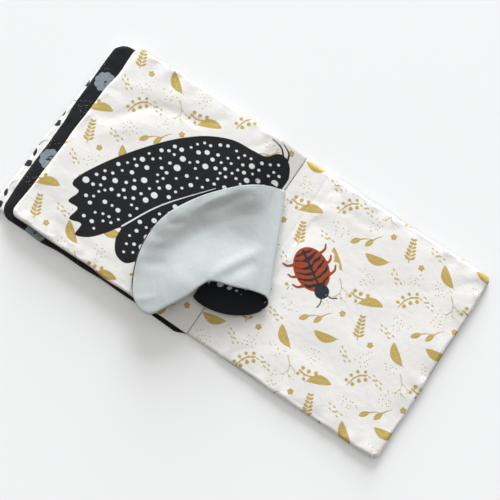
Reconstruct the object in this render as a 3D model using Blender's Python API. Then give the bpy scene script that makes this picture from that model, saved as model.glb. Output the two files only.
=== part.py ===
# Baby soft book, lying open: one padded leaf to the right, three stacked to the left, and a cloth flap
# that is sewn to the top leaf and folded back over it.
# Metres, +Z up. X runs from the spine to the open leaf's fore edge, Y along the spine, and z = 0 is the table.
# The origin lies under the middle of the unpadded spine strip.
import math

import bmesh
import bpy
from mathutils import Vector

# Cloth, wadding and clearances
CLOTH = 0.0005
GAP = 0.0003
LEAF_WADDING = 0.0033
BACK_WADDING = 0.0045

# Leaves, measured flat
LEAF_LENGTH = 0.200
LEAF_WIDTH = 0.195
MARGIN = 0.029
SEAM = 0.005
SHOULDER = 0.006
CREST = 0.015
CROWN_REACH = 0.045
CROWN = 0.0015
CORNER_RADIUS = 0.012
BACK_CORNER_RADIUS = 0.006
SPINE_CORNER_RADIUS = 0.001
WADDING_CLEARANCE = 0.002

# The leaves are soft, puffed and slightly fanned. For each leaf, at its head and at its tail: how far its fore
# edge lies beyond the measured length, and how far that corner stands beyond the measured width
BACK_BEYOND = (0.0000, 0.0020)
BACK_SPREAD = (0.0000, -0.0015)
FRONT_BEYOND = (0.0088, 0.0165)
FRONT_SPREAD = (-0.0045, 0.0030)
INNER_LEFT_BEYOND = (0.0065, 0.0060)
INNER_LEFT_SPREAD = (-0.0040, 0.0060)
INNER_RIGHT_BEYOND = (-0.0125, -0.0045)
INNER_RIGHT_SPREAD = (0.0005, 0.0000)

# Spine
SPINE_CLEARANCE = 0.00045
SPINE_PITCH = 0.0018

# Flap: its sewn line on the top leaf, its fold over the back leaf, and its own thicknesses
SEW_FROM_SPINE = 0.014
SEW_TOP = 0.059
SEW_TAIL = -0.066
FOLD_TOP = (0.001, 0.060)
FOLD_TAIL = (0.043, -0.0285)
FOLD_HEIGHT = 0.0078
CURL_RADIUS = 0.0026
TIP = (-0.037, -0.107)
WING_DROP = 0.0012
WING_CLEARANCE = 0.0004
FLAP_SEAT = 0.0003
ARC_BULGE = 0.0515
TRAIL_BULGE = 0.0215
TAIL_BULGE = 0.016
ARC_LEAN_SHARE = -0.07
ARC_FULLNESS_SHARE = 0.7
TAIL_LEAN_SHARE = -0.06
TAIL_FULLNESS_SHARE = 0.6

# Threads
STITCH_WIDTH = 0.0008
STITCH_HEIGHT = 0.0005
STITCH_PITCH = 0.0075
STITCH_END_CLEARANCE = 0.010
BINDING_FROM_SPINE = 0.008
PAD_STOP_OFFSET = 0.003

# Fineness of the meshes
CORNER_STEPS = 3
SIDE_STEPS = 5
WING_ROWS = 12
WING_COLUMNS = 8
CURL_STEPS = 5
BASE_ROWS = 9
BASE_COLUMNS = 6

# Worked out from the sizes above
ORIGIN_FROM_SPINE = MARGIN / 2
HALF_WIDTH = LEAF_WIDTH / 2
SEAM_THICKNESS = 2 * CLOTH + GAP
LEAF_THICKNESS = 2 * (CLOTH + GAP) + LEAF_WADDING
BACK_THICKNESS = 2 * (CLOTH + GAP) + BACK_WADDING
STRIP_MIDDLE = SEAM_THICKNESS / 2


class Leaf:
    """One padded leaf: which side it lies on, its height, its outline and where its cloth meets the spine."""

    def __init__(self, name, side, bottom, thickness, beyond, spread, spine_height, start, crown, radius):
        self.name = name
        self.side = side
        self.bottom = bottom
        self.thickness = thickness
        self.reach = [LEAF_LENGTH + extra for extra in beyond]
        self.corners = [HALF_WIDTH + extra for extra in spread]
        self.spine_height = spine_height
        self.start = start
        self.crown = crown
        self.radius = radius
        self.middle = bottom + thickness / 2
        self.pad_start = MARGIN + (SEAM if start > SPINE_CLEARANCE else 0)

    def plan(self, along, across):
        """A place on the flat nominal leaf, warped to the outline that the soft leaf really has."""
        head = 0.5 + across / LEAF_WIDTH
        reach = self.reach[1] + head * (self.reach[0] - self.reach[1])
        corner = self.corners[0] if across > 0 else self.corners[1]
        far_share = along / LEAF_LENGTH
        spread = 1 + far_share * (corner / HALF_WIDTH - 1)
        return self.side * along * reach / LEAF_LENGTH, across * spread

    def seam_height(self, along):
        """The middle of the sewn edge: at the spine's height there, climbing to the wadding's middle."""
        climb_share = (along - self.start) / (self.pad_start - self.start)
        climb_share = max(0, min(1, climb_share))
        return self.spine_height + climb_share * (self.middle - self.spine_height)


STACK_PITCH = LEAF_THICKNESS + GAP
FRONT = Leaf("front_leaf", -1, 0, LEAF_THICKNESS, FRONT_BEYOND, FRONT_SPREAD,
             STRIP_MIDDLE, SPINE_CLEARANCE, 0, CORNER_RADIUS)
INNER_LEFT = Leaf("inner_left_leaf", -1, STACK_PITCH, LEAF_THICKNESS, INNER_LEFT_BEYOND, INNER_LEFT_SPREAD,
                  STRIP_MIDDLE + SPINE_PITCH, SPINE_CLEARANCE, 0, CORNER_RADIUS)
INNER_RIGHT = Leaf("inner_right_leaf", -1, 2 * STACK_PITCH, LEAF_THICKNESS, INNER_RIGHT_BEYOND,
                   INNER_RIGHT_SPREAD, STRIP_MIDDLE + 2 * SPINE_PITCH, SPINE_CLEARANCE, CROWN, CORNER_RADIUS)
BACK = Leaf("back_leaf", 1, 0, BACK_THICKNESS, BACK_BEYOND, BACK_SPREAD,
            STRIP_MIDDLE, MARGIN + GAP, CROWN, BACK_CORNER_RADIUS)

CREAM = (0.87, 0.86, 0.82)
BLACK = (0.03, 0.032, 0.036)
GREY_BLUE = (0.45, 0.50, 0.52)
WADDING_WHITE = (0.90, 0.90, 0.88)
THREAD_CREAM = (0.80, 0.78, 0.70)


def clear_scene():
    for thing in list(bpy.data.objects):
        bpy.data.objects.remove(thing, do_unlink=True)


def make_material(name, colour, roughness):
    material = bpy.data.materials.new(name)
    material.use_nodes = True
    shader = material.node_tree.nodes["Principled BSDF"]
    shader.inputs["Base Color"].default_value = (*colour, 1)
    shader.inputs["Roughness"].default_value = roughness
    shader.inputs["Metallic"].default_value = 0
    return material


def make_joint(name, place, parent):
    """An empty on a joint's axis, which carries the pieces that turn about it."""
    empty = bpy.data.objects.new(name, None)
    bpy.context.collection.objects.link(empty)
    empty.location = Vector(place) - (joint_place(parent) if parent else Vector((0, 0, 0)))
    empty.parent = parent
    return empty


def joint_place(joint):
    """Where a joint's empty stands in the world: its own place on top of those of the joints that carry it."""
    place = Vector((0, 0, 0))
    while joint:
        place += joint.location
        joint = joint.parent
    return place


def from_spine(x, y, z):
    """A point measured from the spine line, in the part's own frame."""
    return Vector((x - ORIGIN_FROM_SPINE, y, z))


def make_piece(name, points, faces, material, joint, smooth_angle=40):
    """A closed mesh from points measured from the spine line, hung on the joint that moves it."""
    base = joint_place(joint)
    mesh = bpy.data.meshes.new(name)
    mesh.from_pydata([from_spine(*point) - base for point in points], [], faces)
    shape = bmesh.new()
    shape.from_mesh(mesh)
    bmesh.ops.recalc_face_normals(shape, faces=shape.faces)
    shape.to_mesh(mesh)
    shape.free()
    mesh.shade_smooth()
    mesh.set_sharp_from_angle(angle=math.radians(smooth_angle))
    mesh.materials.append(material)
    piece = bpy.data.objects.new(name, mesh)
    bpy.context.collection.objects.link(piece)
    piece.parent = joint
    return piece


def rounded_outline(start, end, half_width, start_radius, end_radius):
    """A rectangle with rounded corners in nominal leaf places, always with the same number of points."""
    corners = [
        (end - end_radius, half_width - end_radius, end_radius, 0),
        (start + start_radius, half_width - start_radius, start_radius, 90),
        (start + start_radius, start_radius - half_width, start_radius, 180),
        (end - end_radius, end_radius - half_width, end_radius, 270),
    ]
    arcs = []
    for along, across, radius, first_angle in corners:
        arc = []
        for step in range(CORNER_STEPS + 1):
            angle = math.radians(first_angle + 90 * step / CORNER_STEPS)
            arc.append((along + radius * math.cos(angle), across + radius * math.sin(angle)))
        arcs.append(arc)
    outline = []
    for number, arc in enumerate(arcs):
        outline += arc
        here = arc[-1]
        there = arcs[(number + 1) % len(arcs)][0]
        for step in range(1, SIDE_STEPS):
            share = step / SIDE_STEPS
            outline.append((here[0] + share * (there[0] - here[0]), here[1] + share * (there[1] - here[1])))
    return outline


def leaf_rings(leaf):
    """The leaf's outline, the wadding's outline and the rings of its dome, in nominal places."""
    rings = [rounded_outline(leaf.start, LEAF_LENGTH, HALF_WIDTH, SPINE_CORNER_RADIUS, leaf.radius)]
    for inset in (0, SHOULDER, CREST, CROWN_REACH):
        edge = SEAM + inset
        radius = leaf.radius + inset / 2
        rings.append(rounded_outline(leaf.pad_start + inset, LEAF_LENGTH - edge, HALF_WIDTH - edge,
                                     radius, radius))
    return rings


def dome_heights(leaf, ring_number, along):
    """Heights of the hollow in the cloth: its floor and its ceiling, on one ring."""
    rise_share = (0, 0, 0.72, 1, 1, 1)[ring_number]
    crown_share = (0, 0, 0, 0, 0.8, 1)[ring_number]
    seam = leaf.seam_height(along)
    half_seam = GAP / 2
    half_room = leaf.thickness / 2 - CLOTH
    rise = half_seam + rise_share * (half_room - half_seam)
    return seam - rise, seam + rise + crown_share * leaf.crown


def leaf_shell(leaf, upper):
    """Inner and outer surface of one cloth of a leaf, as rings of points and a middle point each."""
    rings = leaf_rings(leaf)
    centre = ((leaf.pad_start + LEAF_LENGTH - SEAM) / 2, 0)
    surfaces = []
    for depth in (0, CLOTH):
        layers = []
        for number, ring in enumerate(rings + [[centre]]):
            layer = []
            for along, across in ring:
                floor, ceiling = dome_heights(leaf, number, along)
                height = ceiling + depth if upper else floor - depth
                layer.append((*leaf.plan(along, across), height))
            layers.append(layer)
        surfaces.append(layers)
    return surfaces


def leaf_wadding(leaf):
    """Lower and upper surface of the wadding, which fills the hollow with a small gap to the cloth."""
    rings = leaf_rings(leaf)
    centre = ((leaf.pad_start + LEAF_LENGTH - SEAM) / 2, 0)
    edge_share = WADDING_CLEARANCE / SHOULDER
    surfaces = []
    for upper in (False, True):
        layers = []
        for number, ring in enumerate(rings + [[centre]]):
            if number == 0:
                continue
            layer = []
            for place, (along, across) in enumerate(ring):
                height = dome_heights(leaf, number, along)[upper]
                point = Vector((*leaf.plan(along, across), height))
                if number == 1:
                    next_along, next_across = rings[2][place]
                    next_height = dome_heights(leaf, 2, next_along)[upper]
                    next_point = Vector((*leaf.plan(next_along, next_across), next_height))
                    point = point.lerp(next_point, edge_share)
                point.z += -GAP if upper else GAP
                layer.append(tuple(point))
            layers.append(layer)
        surfaces.append(layers)
    return surfaces


def close_rings(surfaces):
    """Points and faces of a solid between two surfaces, each made of like rings and one middle point."""
    points = []
    faces = []
    firsts = []
    for layers in surfaces:
        starts = []
        for layer in layers:
            starts.append(len(points))
            points += layer
        firsts.append(starts)
        count = len(layers[0])
        for number in range(len(layers) - 2):
            for place in range(count):
                after = (place + 1) % count
                faces.append((starts[number] + place, starts[number] + after,
                              starts[number + 1] + after, starts[number + 1] + place))
        for place in range(count):
            faces.append((starts[-2] + place, starts[-2] + (place + 1) % count, starts[-1]))
    count = len(surfaces[0][0])
    for place in range(count):
        after = (place + 1) % count
        faces.append((firsts[0][0] + place, firsts[0][0] + after, firsts[1][0] + after, firsts[1][0] + place))
    return points, faces


def make_leaf(leaf, upper_material, lower_material, wadding_material, joint):
    """Two cloths sewn around a sheet of wadding."""
    make_piece(leaf.name + "_lower_cloth", *close_rings(leaf_shell(leaf, False)), lower_material, joint)
    make_piece(leaf.name + "_upper_cloth", *close_rings(leaf_shell(leaf, True)), upper_material, joint)
    make_piece(leaf.name + "_wadding", *close_rings(leaf_wadding(leaf)), wadding_material, joint)


def make_strip(name, bottom, material):
    """One flat cloth of the unpadded strip between the spine and the back leaf's crease."""
    points = []
    for height in (bottom, bottom + CLOTH):
        for along in (0, MARGIN):
            for across in (-HALF_WIDTH, HALF_WIDTH):
                points.append((*BACK.plan(along, across), height))
    faces = [(0, 1, 3, 2), (4, 5, 7, 6), (0, 1, 5, 4), (2, 3, 7, 6), (0, 2, 6, 4), (1, 3, 7, 5)]
    make_piece(name, points, faces, material, None)


def sheet_solid(grid, low, high):
    """A closed cloth between two offsets of a grid of points, measured along the grid's own normals."""
    rows = len(grid)
    columns = len(grid[0])
    normals = []
    for row in range(rows):
        line = []
        for column in range(columns):
            along = grid[min(row + 1, rows - 1)][column] - grid[max(row - 1, 0)][column]
            across = grid[row][min(column + 1, columns - 1)] - grid[row][max(column - 1, 0)]
            line.append(across.cross(along).normalized())
        normals.append(line)
    points = []
    for offset in (low, high):
        for row in range(rows):
            for column in range(columns):
                points.append(tuple(grid[row][column] + offset * normals[row][column]))

    def place(row, column, level):
        return level * rows * columns + row * columns + column

    faces = []
    for level in (0, 1):
        for row in range(rows - 1):
            for column in range(columns - 1):
                faces.append((place(row, column, level), place(row, column + 1, level),
                              place(row + 1, column + 1, level), place(row + 1, column, level)))
    border = [(0, column) for column in range(columns)]
    border += [(row, columns - 1) for row in range(1, rows)]
    border += [(rows - 1, column) for column in range(columns - 2, -1, -1)]
    border += [(row, 0) for row in range(rows - 2, 0, -1)]
    for number, (row, column) in enumerate(border):
        next_row, next_column = border[(number + 1) % len(border)]
        faces.append((place(row, column, 0), place(next_row, next_column, 0),
                      place(next_row, next_column, 1), place(row, column, 1)))
    return points, faces


def bulged(start, end, bulge, share, lean_share=0, fullness_share=1):
    """A point on a soft curve from start to end that stands out to one side by the bulge. A lean below zero
    moves its fullest place towards the end, and a low fullness gives it blunter ends."""
    start = Vector(start)
    end = Vector(end)
    run = end - start
    side = Vector((run.y, -run.x)).normalized()
    leaned_share = share + lean_share * math.sin(math.pi * share)
    rise_share = max(0, math.sin(math.pi * leaned_share)) ** fullness_share
    return start.lerp(end, share) + side * bulge * rise_share


def patch_point(top, bottom, left, right, down, over):
    """A point inside four border curves, each given as a function of its share (a Coons patch)."""
    ruled_down = top(over).lerp(bottom(over), down)
    ruled_over = left(down).lerp(right(down), over)
    corners = (top(0).lerp(top(1), over)).lerp(bottom(0).lerp(bottom(1), over), down)
    return ruled_down + ruled_over - corners


def fold_line(share):
    return Vector(FOLD_TOP).lerp(Vector(FOLD_TAIL), share)


def fold_direction():
    return (Vector(FOLD_TAIL) - Vector(FOLD_TOP)).normalized()


def wing_normal():
    """The direction in plan from the fold towards the wing, square to the fold."""
    direction = fold_direction()
    return Vector((direction.y, -direction.x))


def top_leaf_height(x, y):
    """Upper surface of the top leaf under the flap, without its lowered edges."""
    inner = (-x - MARGIN) / CROWN_REACH
    share = max(0, min(1, inner))
    return INNER_RIGHT.bottom + LEAF_THICKNESS + CROWN * share


def wing_point(down, over):
    """The wing beyond the curl, in plan: from the fold to its round outer edge, from its top to its tip."""
    inward = wing_normal() * CURL_RADIUS

    def near_fold(share):
        return fold_line(share) + inward

    def outer_arc(share):
        start = near_fold(0) + wing_normal() * CURL_RADIUS
        return bulged(start, TIP, ARC_BULGE, share, ARC_LEAN_SHARE, ARC_FULLNESS_SHARE)

    def top_edge(share):
        return near_fold(0).lerp(outer_arc(0), share)

    def trailing_edge(share):
        return bulged(near_fold(1), TIP, TRAIL_BULGE, share)

    return patch_point(top_edge, trailing_edge, near_fold, outer_arc, down, over)


def wing_height(x, y, fold_x):
    """The wing bridges from the top of its curl to the leaf, and lies on the leaf from there on."""
    half_flap = SEAM_THICKNESS / 2
    fold_top = FOLD_HEIGHT + 2 * CURL_RADIUS
    landing_x = -(MARGIN + CREST)
    leaf = top_leaf_height(x, y) + half_flap + WING_CLEARANCE
    share = max(0, min(1, (fold_x - x) / (fold_x - landing_x)))
    bridge = fold_top + share * (leaf - fold_top)
    leaf_edge = INNER_RIGHT.corners[1]
    overhang_share = max(0, -y - leaf_edge) / (-TIP[1] - leaf_edge)
    return bridge - WING_DROP * overhang_share


def wing_grid():
    """The curl at the fold and the wing that follows it, as rows of points from the top down."""
    grid = []
    for row in range(WING_ROWS + 1):
        down = row / WING_ROWS
        fold = fold_line(down)
        inward = wing_normal() * CURL_RADIUS
        line = []
        for step in range(CURL_STEPS + 1):
            angle = math.pi * (step / CURL_STEPS - 0.5)
            place = fold + inward * (1 - math.cos(angle))
            height = FOLD_HEIGHT + CURL_RADIUS * (1 + math.sin(angle))
            line.append(Vector((place.x, place.y, height)))
        for column in range(1, WING_COLUMNS + 1):
            place = wing_point(down, column / WING_COLUMNS)
            line.append(Vector((place.x, place.y, wing_height(place.x, place.y, fold.x))))
        grid.append(line)
    return grid


def margin_height(from_spine_line):
    """Middle of the top leaf's margin at a real distance from the spine, where the leaf is drawn in most."""
    return INNER_RIGHT.seam_height(from_spine_line * LEAF_LENGTH / min(INNER_RIGHT.reach))


def base_height(x):
    """The sewn length of the flap runs from the top leaf's margin down over the spine to the back leaf."""
    sewn = margin_height(SEW_FROM_SPINE) + SEAM_THICKNESS + FLAP_SEAT
    share = max(0, min(1, (x + SEW_FROM_SPINE) / (FOLD_TAIL[0] + SEW_FROM_SPINE)))
    return sewn + share * (FOLD_HEIGHT - sewn)


def base_grid():
    """The sewn length of the flap, from its sewn line to the start of the curl."""
    stop = wing_normal() * (CURL_RADIUS + GAP)

    def sewn_edge(share):
        return Vector((-SEW_FROM_SPINE, SEW_TOP + share * (SEW_TAIL - SEW_TOP)))

    def curl_edge(share):
        return fold_line(share) + stop

    def top_edge(share):
        return sewn_edge(0).lerp(curl_edge(0), share)

    def tail_edge(share):
        return bulged(sewn_edge(1), curl_edge(1), TAIL_BULGE, share, TAIL_LEAN_SHARE, TAIL_FULLNESS_SHARE)

    grid = []
    for row in range(BASE_ROWS + 1):
        line = []
        for column in range(BASE_COLUMNS + 1):
            place = patch_point(top_edge, tail_edge, sewn_edge, curl_edge,
                                row / BASE_ROWS, column / BASE_COLUMNS)
            line.append(Vector((place.x, place.y, base_height(place.x))))
        grid.append(line)
    return grid


def make_flap(front_material, lining_material, leaf_joint, fold_joint):
    """Two cloths back to back: lining under the front on the sewn length, and on top of it past the fold."""
    half_gap = GAP / 2
    base = base_grid()
    wing = wing_grid()
    make_piece("flap_base_lining", *sheet_solid(base, half_gap, half_gap + CLOTH), lining_material, leaf_joint)
    make_piece("flap_base_front", *sheet_solid(base, -half_gap - CLOTH, -half_gap), front_material, leaf_joint)
    make_piece("flap_wing_lining", *sheet_solid(wing, half_gap, half_gap + CLOTH), lining_material, fold_joint)
    make_piece("flap_wing_front", *sheet_solid(wing, -half_gap - CLOTH, -half_gap), front_material, fold_joint)


def make_stitches(name, places, slope, material, joint):
    """One sewing thread along Y on sloping cloth: it swells at each stitch and dips where it enters the cloth."""
    points = []
    dip_share = 0.35
    for number, (x, y, z) in enumerate(places):
        size_share = 1 if number % 2 else dip_share
        half_wide = STITCH_WIDTH / 2 * size_share
        height = STITCH_HEIGHT * size_share
        for offset, level in ((-half_wide, 0), (half_wide, 0), (half_wide / 2, height), (-half_wide / 2, height)):
            points.append((x + offset, y, z + level + slope * offset))
    faces = [(0, 1, 2, 3), tuple(len(points) - 4 + corner for corner in range(4))]
    for number in range(len(places) - 1):
        first = 4 * number
        for corner in range(4):
            after = (corner + 1) % 4
            faces.append((first + corner, first + after, first + 4 + after, first + 4 + corner))
    make_piece(name, points, faces, material, joint)


def stitch_places(x, z, start, end):
    """Places along Y at one distance from the spine, by turns where a stitch dips and where it swells."""
    count = 2 * int((end - start) / STITCH_PITCH)
    return [(x, start + (end - start) * number / count, z) for number in range(count + 1)]


def make_threads(material, leaf_joint):
    """Binding on the spine strip, pad stops beside two waddings, and the flap's own seam."""
    end = HALF_WIDTH - STITCH_END_CLEARANCE
    strip_top = SEAM_THICKNESS + GAP
    make_stitches("binding_stitches", stitch_places(BINDING_FROM_SPINE, strip_top, -end, end), 0, material, None)
    crease = MARGIN - PAD_STOP_OFFSET
    back_crease = BACK.plan(crease, 0)[0]
    make_stitches("back_leaf_stitches", stitch_places(back_crease, strip_top, -end, end), 0, material, None)
    run = INNER_RIGHT.pad_start - INNER_RIGHT.start
    slope = -(INNER_RIGHT.middle - INNER_RIGHT.spine_height) / run
    lift = SEAM_THICKNESS / 2 + GAP
    height = margin_height(crease) + lift
    make_stitches("inner_leaf_stitches", stitch_places(-crease, height, -end, end), slope, material, leaf_joint)
    sewn_x = -SEW_FROM_SPINE + STITCH_WIDTH
    sewn_height = base_height(sewn_x) + lift
    make_stitches("flap_stitches", stitch_places(sewn_x, sewn_height, SEW_TAIL, SEW_TOP), 0,
                  material, leaf_joint)


def build():
    clear_scene()
    cream = make_material("cream_print_cloth", CREAM, 0.9)
    marked = make_material("line_print_cloth", CREAM, 0.9)
    black = make_material("black_print_cloth", BLACK, 0.9)
    dotted = make_material("dotted_black_cloth", BLACK, 0.9)
    lining = make_material("grey_lining", GREY_BLUE, 0.9)
    wadding = make_material("wadding", WADDING_WHITE, 0.95)
    thread = make_material("thread", THREAD_CREAM, 0.7)

    front_joint = make_joint("front_leaf_joint", from_spine(0, 0, FRONT.spine_height), None)
    left_joint = make_joint("inner_left_leaf_joint", from_spine(0, 0, INNER_LEFT.spine_height), front_joint)
    right_joint = make_joint("inner_right_leaf_joint", from_spine(0, 0, INNER_RIGHT.spine_height), left_joint)
    fold_middle = fold_line(0.5) + wing_normal() * CURL_RADIUS
    fold_joint = make_joint("flap_fold_joint", from_spine(*fold_middle, FOLD_HEIGHT + CURL_RADIUS), right_joint)

    make_strip("spine_strip_lower_cloth", 0, black)
    make_strip("spine_strip_upper_cloth", CLOTH + GAP, cream)
    make_leaf(BACK, cream, black, wadding, None)
    make_leaf(FRONT, marked, black, wadding, front_joint)
    make_leaf(INNER_LEFT, black, marked, wadding, left_joint)
    make_leaf(INNER_RIGHT, cream, black, wadding, right_joint)
    make_flap(dotted, lining, right_joint, fold_joint)
    make_threads(thread, right_joint)


build()
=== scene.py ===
# Looks of the baby soft book: padded cloth leaves, a folded cloth flap, printed cottons and a pale studio.
# Metres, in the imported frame. X runs from the spine to the open leaf's fore edge, Y along the spine.
# Prints are drawn in millimetres on the cloth, measured from the spine line.
from math import cos, pi, radians, sin

import bpy
import numpy as np
from mathutils import Matrix, Vector


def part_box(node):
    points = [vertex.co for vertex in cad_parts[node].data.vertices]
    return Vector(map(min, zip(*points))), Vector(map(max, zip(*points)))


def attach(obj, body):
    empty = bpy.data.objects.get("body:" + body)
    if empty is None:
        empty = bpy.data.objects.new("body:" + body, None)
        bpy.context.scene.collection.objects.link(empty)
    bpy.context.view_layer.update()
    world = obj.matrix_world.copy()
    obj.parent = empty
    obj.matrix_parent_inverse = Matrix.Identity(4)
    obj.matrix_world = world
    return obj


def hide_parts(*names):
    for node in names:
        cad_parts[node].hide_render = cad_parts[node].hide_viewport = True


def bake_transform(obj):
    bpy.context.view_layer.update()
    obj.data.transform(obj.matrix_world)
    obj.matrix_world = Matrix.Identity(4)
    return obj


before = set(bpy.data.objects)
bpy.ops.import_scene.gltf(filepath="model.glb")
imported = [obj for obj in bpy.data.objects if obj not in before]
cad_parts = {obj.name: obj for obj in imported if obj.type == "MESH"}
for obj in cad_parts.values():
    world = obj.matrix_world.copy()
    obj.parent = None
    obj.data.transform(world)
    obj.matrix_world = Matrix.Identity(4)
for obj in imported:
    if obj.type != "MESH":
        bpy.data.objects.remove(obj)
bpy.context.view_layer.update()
MM = 0.001

# Cloth
CLOTH = 0.0005
HALF_GAP = 0.00005
SEAM_HALF = 0.00065
ORIGIN_FROM_SPINE = 0.0145
LEAF_LENGTH = 0.200
HALF_WIDTH = 0.0975
WADDING_INSET = 0.002
STRIP_TOP = 0.0044
STRIP_LEVEL = 0.012
STRIP_CLIMB = 0.050
EDGE_STEPS = (0, 0.0002, 0.0006, 0.0012, 0.0020, 0.0030)
INNER_STEP = 4
FINE_PITCH = 0.0009
COARSE_PITCH = 0.0018
SHARP_ANGLE = radians(70)
TINY = 1e-9

# Camera, fitted to the object's corners
FRAME_WIDTH = 500
FOCAL_PIXELS = 1300
SENSOR_WIDTH = 36
CAMERA_PLACE = (0.1204, -0.1397, 1.1697)
CAMERA_YAW = 0.7599
CAMERA_TILT = 0.1614
CAMERA_ROLL = -0.1659

# Light: a broad low window, and a room that is brighter on the window's side
KEY_TURN = radians(117)
KEY_HEIGHT = radians(17)
KEY_DISTANCE = 18.0
KEY_SIZE = 9.6
KEY_SHARE = 0.475
ROOM_SHARE = 0.53
ROOM_LEAN = 0.42
SKY_SHOWN = 0.94
KEY_TINT = (0.98, 1.0, 1.03)
ROOM_TINT = (1.0, 0.982, 0.938, 1)
FLOOR_SIZE = 12.0
FLOOR_DROP = 0.0002
FLOOR_LIFT = 0.20
FLOOR_GLOW = (1, 1, 1, 1)

# Colours, as they show
CREAM = (241, 240, 238)
GOLD = (196, 170, 94)
GOLD_LIGHT = (216, 196, 142)
BLACK = (25, 27, 31)
DOT_WHITE = (233, 234, 234)
LINING = (201, 208, 209)
RUST = (165, 70, 38)
GREY_BLUE = (135, 149, 158)
SPECK_GREY = (150, 155, 160)
INK = (44, 48, 54)
# This tan is painted shade: a thin darker line where the top leaf's cloth rolls under at its sewn rim.
TAN_RIM_SHADE = (176, 146, 104)
THREAD = (232, 229, 220)
THREAD_SHADE = (214, 210, 198)
FLOOR = (222, 223, 225)


def linear(colour):
    """A display colour of 0 to 255 as a shader's linear values."""
    share = np.array(colour) / 255
    return (*np.where(share <= 0.04045, share / 12.92, ((share + 0.055) / 1.055) ** 2.4), 1)


# Soft noise and curves, for wrinkles and prints
NOISE_CELLS = 64


def smooth(share):
    share = np.clip(share, 0, 1)
    return share * share * (3 - 2 * share)


def in_cell(values, row, column, up, across):
    """Values within the cells of a wrapping grid, at shares of their height and width."""
    rows, columns = values.shape
    low, high = (values[(row + above) % rows, column % columns] * (1 - across)
                 + values[(row + above) % rows, (column + 1) % columns] * across for above in (0, 1))
    return low * (1 - up) + high * up


def soft_noise(x, y, seed):
    """Smooth bumps about one unit apart, from -1 to 1."""
    lattice = np.random.RandomState(seed).uniform(-1, 1, (NOISE_CELLS, NOISE_CELLS))
    column = np.floor(x).astype(int)
    row = np.floor(y).astype(int)
    return in_cell(lattice, row, column, smooth(y - row), smooth(x - column))


def passed_length(points, axis=0):
    """The length passed at each place of a line, or of a grid's lines."""
    steps = np.linalg.norm(np.diff(points, axis=axis), axis=-1)
    return np.concatenate([0 * steps.take([0], axis), np.cumsum(steps, axis)], axis)


def along_line(x, y, points):
    """Distance to a line, and the share of its length at the nearest place."""
    points = np.asarray(points, float)
    passed = passed_length(points)
    best = np.full(np.shape(x), np.inf)
    share = np.zeros(np.shape(x))
    for start, step, before in zip(points, np.diff(points, axis=0), passed):
        length = np.hypot(*step)
        run = np.clip(((x - start[0]) * step[0] + (y - start[1]) * step[1]) / length ** 2, 0, 1)
        distance = np.hypot(x - start[0] - run * step[0], y - start[1] - run * step[1])
        nearer = distance < best
        best = np.where(nearer, distance, best)
        share = np.where(nearer, (before + run * length) / passed[-1], share)
    return best, share


def rounded_line(points, closed=False, steps=8):
    """A smooth curve through a few places (Catmull-Rom)."""
    points = np.asarray(points, float)
    if closed:
        padded = np.vstack([points[-1:], points, points[:2]])
    else:
        padded = np.vstack([2 * points[0] - points[1], points, 2 * points[-1] - points[-2]])
    t = np.arange(steps)[:, None] / steps
    fine = []
    for a, b, c, d in zip(padded, padded[1:], padded[2:], padded[3:]):
        fine.append(0.5 * (2 * b + (c - a) * t + (2 * a - 5 * b + 4 * c - d) * t ** 2
                           + (3 * b - a - 3 * c + d) * t ** 3))
    return np.vstack([*fine, padded[-2]])


def inside_line(x, y, outline):
    """Distance to a closed outline, below zero inside it."""
    inside = np.zeros(np.shape(x), bool)
    for (x0, y0), (x1, y1) in zip(outline[:-1], outline[1:]):
        if y0 != y1:
            inside ^= ((y0 > y) != (y1 > y)) & (x < x0 + (y - y0) * (x1 - x0) / (y1 - y0))
    return along_line(x, y, outline)[0] * np.where(inside, -1, 1)


def ridges(x, y, lines):
    """Soft ridges drawn in millimetres, or valleys below zero, that fade out at both ends."""
    total = np.zeros(np.shape(x))
    for points, width, height in lines:
        distance, share = along_line(x, y, rounded_line(points) * MM)
        fade = np.sqrt(np.clip(np.sin(pi * share), 0, 1))
        total += height * MM * fade * np.exp(-(distance / (width * MM)) ** 2)
    return total


# Leaves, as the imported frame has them
PUFF_CELLS = (48, 54)
HINGE_REACH = 0.012
PAD_LEAD_SHARE = 0.15
CREASE_REACH_SHARE = 1.6
SPREAD_START_SHARE = 0.06
LOWER_LEAF_SPREAD = 0.0046


def node_places(name):
    return np.array([tuple(vertex.co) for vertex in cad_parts[name].data.vertices])


def from_spine(points):
    return np.abs(points[:, 0] + ORIGIN_FROM_SPINE)


def fore_corner(points, end):
    """The corner at the head (1) or the tail (-1), where the lines of the fore edge and the side meet."""
    along = from_spine(points)
    across = points[:, 1] * end

    def farthest(reach, part):
        best = np.argmax(np.where(part, reach, -np.inf))
        return along[best], across[best]

    x1, y1 = farthest(along, across > 0)
    x2, y2 = farthest(along, across < 0)
    x3, y3 = farthest(across, along < LEAF_LENGTH / 2)
    x4, y4 = farthest(across, along > LEAF_LENGTH / 2)
    fore_slope = (x2 - x1) / (y2 - y1)
    side_slope = (y4 - y3) / (x4 - x3)
    y = (y3 + side_slope * (x1 - fore_slope * y1 - x3)) / (1 - side_slope * fore_slope)
    return x1 + fore_slope * (y - y1), y


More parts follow.
